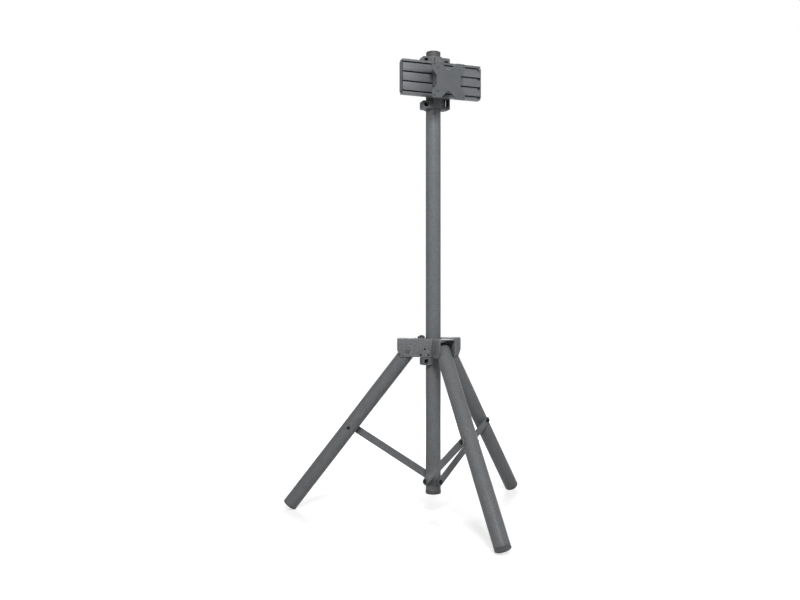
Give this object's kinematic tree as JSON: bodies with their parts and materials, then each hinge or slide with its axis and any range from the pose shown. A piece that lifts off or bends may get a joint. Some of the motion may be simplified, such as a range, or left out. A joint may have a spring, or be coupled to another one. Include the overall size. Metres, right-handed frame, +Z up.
{
  "type": "display floor stand",
  "caption": "Floor stand for a display: a round pole on folding tube legs with brace bars, a sliding hub and a clamped T-slot panel that carries an X-shaped VESA plate.",
  "frame": {"origin": "on the floor, under the middle of the stand's footprint", "axes": "+Z up along the pole, the display faces -Y, +X to the right of someone who looks at the display's side along +Y"},
  "size_m": [0.8992, 0.7857, 1.5435],
  "materials": {
    "tube_coat": "dark grey powder coat, satin",
    "hub_coat": "dark grey powder coat, satin",
    "anodised": "dark anodised, extruded",
    "black_plastic": "moulded black",
    "guide_plastic": "moulded dark grey",
    "dark_steel": "black oxide"
  },
  "bodies": {
    "pole": {"pole_tube": "tube_coat", "pole_top_plug": "black_plastic", "pole_base_cap": "black_plastic", "brace_bolt_front": "dark_steel", "brace_bolt_right": "dark_steel", "brace_bolt_left": "dark_steel", "collar_saddle": "hub_coat", "collar_strap": "hub_coat", "collar_screw_left": "dark_steel", "collar_screw_right": "dark_steel"},
    "hub": {"hub_yoke_front": "hub_coat", "hub_yoke_right": "hub_coat", "hub_yoke_left": "hub_coat", "hub_guide_front": "guide_plastic", "hub_guide_right": "guide_plastic", "hub_guide_left": "guide_plastic", "leg_pivot_front": "dark_steel", "leg_pivot_right": "dark_steel", "leg_pivot_left": "dark_steel", "lock_boss": "hub_coat"},
    "lock": {"lock_knob": "black_plastic", "lock_spindle": "dark_steel"},
    "leg_front": {"leg_tube_front": "tube_coat", "leg_top_cap_front": "black_plastic", "leg_foot_front": "black_plastic", "leg_pin_front": "dark_steel"},
    "leg_right": {"leg_tube_right": "tube_coat", "leg_top_cap_right": "black_plastic", "leg_foot_right": "black_plastic", "leg_pin_right": "dark_steel"},
    "leg_left": {"leg_tube_left": "tube_coat", "leg_top_cap_left": "black_plastic", "leg_foot_left": "black_plastic", "leg_pin_left": "dark_steel"},
    "brace_front": {"brace_bar_front": "tube_coat", "brace_screw_front": "dark_steel"},
    "brace_right": {"brace_bar_right": "tube_coat", "brace_screw_right": "dark_steel"},
    "brace_left": {"brace_bar_left": "tube_coat", "brace_screw_left": "dark_steel"},
    "head": {"back_plate": "hub_coat", "panel": "anodised", "panel_cap_left": "black_plastic", "panel_cap_right": "black_plastic", "lower_clamp_saddle": "hub_coat", "lower_clamp_strap": "hub_coat", "lower_clamp_hinge_pin": "dark_steel", "lower_clamp_screw": "dark_steel", "upper_clamp_saddle": "hub_coat", "upper_clamp_strap": "hub_coat", "upper_clamp_hinge_pin": "dark_steel", "upper_clamp_screw": "dark_steel"},
    "carriage": {"standoff": "hub_coat", "vesa_plate": "hub_coat", "slot_nut_lower": "dark_steel", "slot_nut_upper": "dark_steel", "slot_screw_lower": "dark_steel", "slot_screw_upper": "dark_steel"}
  },
  "joints": [
    {"name": "hub_slide", "type": "slide", "parent": "pole", "child": "hub", "axis": [0, 0, 1], "range_m": [0, 0.21794]},
    {"name": "leg_hinge_front", "type": "hinge", "parent": "hub", "child": "leg_front", "pos_m": [0, 0.03968, 0.5475], "axis": [1, 0, 0], "range_deg": [0, 37.81]},
    {"name": "leg_hinge_right", "type": "hinge", "parent": "hub", "child": "leg_right", "pos_m": [0.07101, 0.16268, 0.5475], "axis": [-0.5, 0.866, 0], "range_deg": [0, 37.81]},
    {"name": "leg_hinge_left", "type": "hinge", "parent": "hub", "child": "leg_left", "pos_m": [-0.07101, 0.16268, 0.5475], "axis": [-0.5, -0.866, 0], "range_deg": [0, 37.81]},
    {"name": "brace_hinge_front", "type": "hinge", "parent": "pole", "child": "brace_front", "pos_m": [0, 0.12168, 0.112], "axis": [-1, 0, 0], "range_deg": [0, 44.2]},
    {"name": "brace_hinge_right", "type": "hinge", "parent": "pole", "child": "brace_right", "pos_m": [0, 0.12168, 0.112], "axis": [0.5, -0.866, 0], "range_deg": [0, 44.2]},
    {"name": "brace_hinge_left", "type": "hinge", "parent": "pole", "child": "brace_left", "pos_m": [0, 0.12168, 0.112], "axis": [0.5, 0.866, 0], "range_deg": [0, 44.2]},
    {"name": "lock_turn", "type": "hinge", "parent": "hub", "child": "lock", "pos_m": [0, 0.12168, 0.5785], "axis": [-0.5, 0.866, 0], "range_deg": [0, 360]},
    {"name": "head_slide", "type": "slide", "parent": "pole", "child": "head", "axis": [0, 0, 1], "range_m": [-0.5, 0]},
    {"name": "carriage_slide", "type": "slide", "parent": "head", "child": "carriage", "axis": [1, 0, 0], "range_m": [-0.1, 0.1]}
  ],
  "couplings": [
    {"joint": "leg_hinge_front", "follows": "hub_slide", "rad_per_m": 3.0271},
    {"joint": "leg_hinge_right", "follows": "hub_slide", "rad_per_m": 3.0271},
    {"joint": "leg_hinge_left", "follows": "hub_slide", "rad_per_m": 3.0271},
    {"joint": "brace_hinge_front", "follows": "hub_slide", "rad_per_m": 3.5391},
    {"joint": "brace_hinge_right", "follows": "hub_slide", "rad_per_m": 3.5391},
    {"joint": "brace_hinge_left", "follows": "hub_slide", "rad_per_m": 3.5391}
  ]
}
